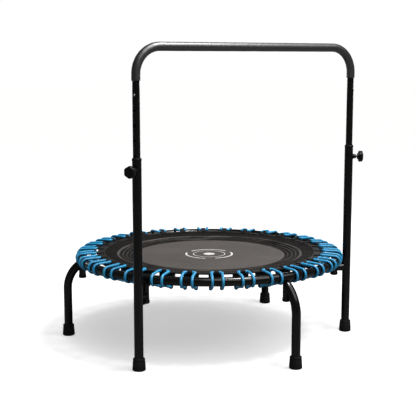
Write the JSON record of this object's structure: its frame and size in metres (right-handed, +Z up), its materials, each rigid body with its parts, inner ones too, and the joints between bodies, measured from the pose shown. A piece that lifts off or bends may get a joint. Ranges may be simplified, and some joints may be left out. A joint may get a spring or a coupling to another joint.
{
  "type": "mini trampoline",
  "caption": "Round mini trampoline on arched legs, with an elastic-cord mat and a height-adjustable handlebar with a foam grip.",
  "frame": {"origin": "on the floor, under the middle of the box, which is under the centre of the ring", "axes": "+Z up; +Y towards the rear, away from the handlebar; +X to the right of someone who faces the handlebar side from outside"},
  "size_m": [1.0516, 1.149, 1.1257],
  "materials": {
    "painted_tube": "glossy black powder coat",
    "bright_steel": "bright plated steel",
    "zinc_steel": "zinc-plated steel",
    "black_plastic": "satin moulded plastic",
    "knob_plastic": "semi-gloss moulded plastic",
    "foot_rubber": "matt moulded rubber",
    "foam": "closed-cell foam with a soft skin",
    "woven_mat": "woven polypropylene with a slight sheen",
    "grey_panel": "smooth printed woven panel",
    "webbing": "ribbed webbing",
    "elastic_cord": "braided sleeve over an elastic core"
  },
  "bodies": {
    "frame": {"frame_ring": "painted_tube", "leg_spigots": "painted_tube", "spigot_nuts": "zinc_steel", "leg_lock_caps": "black_plastic", "leg_front": "painted_tube", "leg_rear": "painted_tube", "leg_rear_left": "painted_tube", "leg_rear_right": "painted_tube", "sleeve_front": "painted_tube", "sleeve_rear": "painted_tube", "sleeve_rear_left": "painted_tube", "sleeve_rear_right": "painted_tube", "sleeve_post_left": "painted_tube", "sleeve_post_right": "painted_tube", "post_left": "painted_tube", "post_right": "painted_tube", "bracket_left": "painted_tube", "bracket_right": "painted_tube", "gusset_left": "painted_tube", "gusset_right": "painted_tube", "post_bushing_left": "black_plastic", "post_bushing_right": "black_plastic", "lock_nut_left": "painted_tube", "lock_nut_right": "painted_tube", "foot_front": "foot_rubber", "foot_rear": "foot_rubber", "foot_rear_left": "foot_rubber", "foot_rear_right": "foot_rubber", "foot_post_left": "foot_rubber", "foot_post_right": "foot_rubber", "cords_bay_1": "elastic_cord", "cords_bay_2": "elastic_cord", "cords_bay_3": "elastic_cord", "cords_bay_4": "elastic_cord", "cords_bay_5": "elastic_cord", "cords_bay_6": "elastic_cord"},
    "handlebar": {"upper_tube_left": "painted_tube", "upper_tube_right": "painted_tube", "tube_glide_left": "black_plastic", "tube_glide_right": "black_plastic", "handlebar_top": "painted_tube", "foam_grip": "foam", "joint_screws": "bright_steel"},
    "mat": {"mat_bed": "woven_mat", "mat_panel": "grey_panel", "mat_hem": "webbing", "cord_tabs": "webbing", "cord_anchors": "black_plastic"},
    "screw_left": {"lock_screw_left": "bright_steel"},
    "screw_right": {"lock_screw_right": "bright_steel"},
    "knob_left": {"lock_knob_left": "knob_plastic"},
    "knob_right": {"lock_knob_right": "knob_plastic"}
  },
  "joints": [
    {"name": "handlebar_height", "type": "slide", "parent": "frame", "child": "handlebar", "axis": [0, 0, 1], "range_m": [-0.2032, 0]},
    {"name": "mat_bounce", "type": "slide", "parent": "frame", "child": "mat", "axis": [0, 0, 1], "range_m": [-0.1, 0], "stiffness_N_per_m": 9000, "deforming": ["cords_bay_1", "cords_bay_2", "cords_bay_3", "cords_bay_4", "cords_bay_5", "cords_bay_6"]},
    {"name": "lock_screw_travel_left", "type": "slide", "parent": "frame", "child": "screw_left", "axis": [-0.866, -0.5, 0], "range_m": [0, 0.00687]},
    {"name": "lock_knob_turn_left", "type": "hinge", "parent": "screw_left", "child": "knob_left", "pos_m": [-0.50359, -0.29075, 0.696], "axis": [-0.866, -0.5, 0], "range_deg": [0, 1980]},
    {"name": "lock_screw_travel_right", "type": "slide", "parent": "frame", "child": "screw_right", "axis": [0.866, -0.5, 0], "range_m": [0, 0.00687]},
    {"name": "lock_knob_turn_right", "type": "hinge", "parent": "screw_right", "child": "knob_right", "pos_m": [0.50359, -0.29075, 0.696], "axis": [0.866, -0.5, 0], "range_deg": [0, 1980]}
  ],
  "couplings": [
    {"joint": "lock_knob_turn_left", "follows": "lock_screw_travel_left", "rad_per_m": 5026.5},
    {"joint": "lock_knob_turn_right", "follows": "lock_screw_travel_right", "rad_per_m": 5026.5}
  ]
}
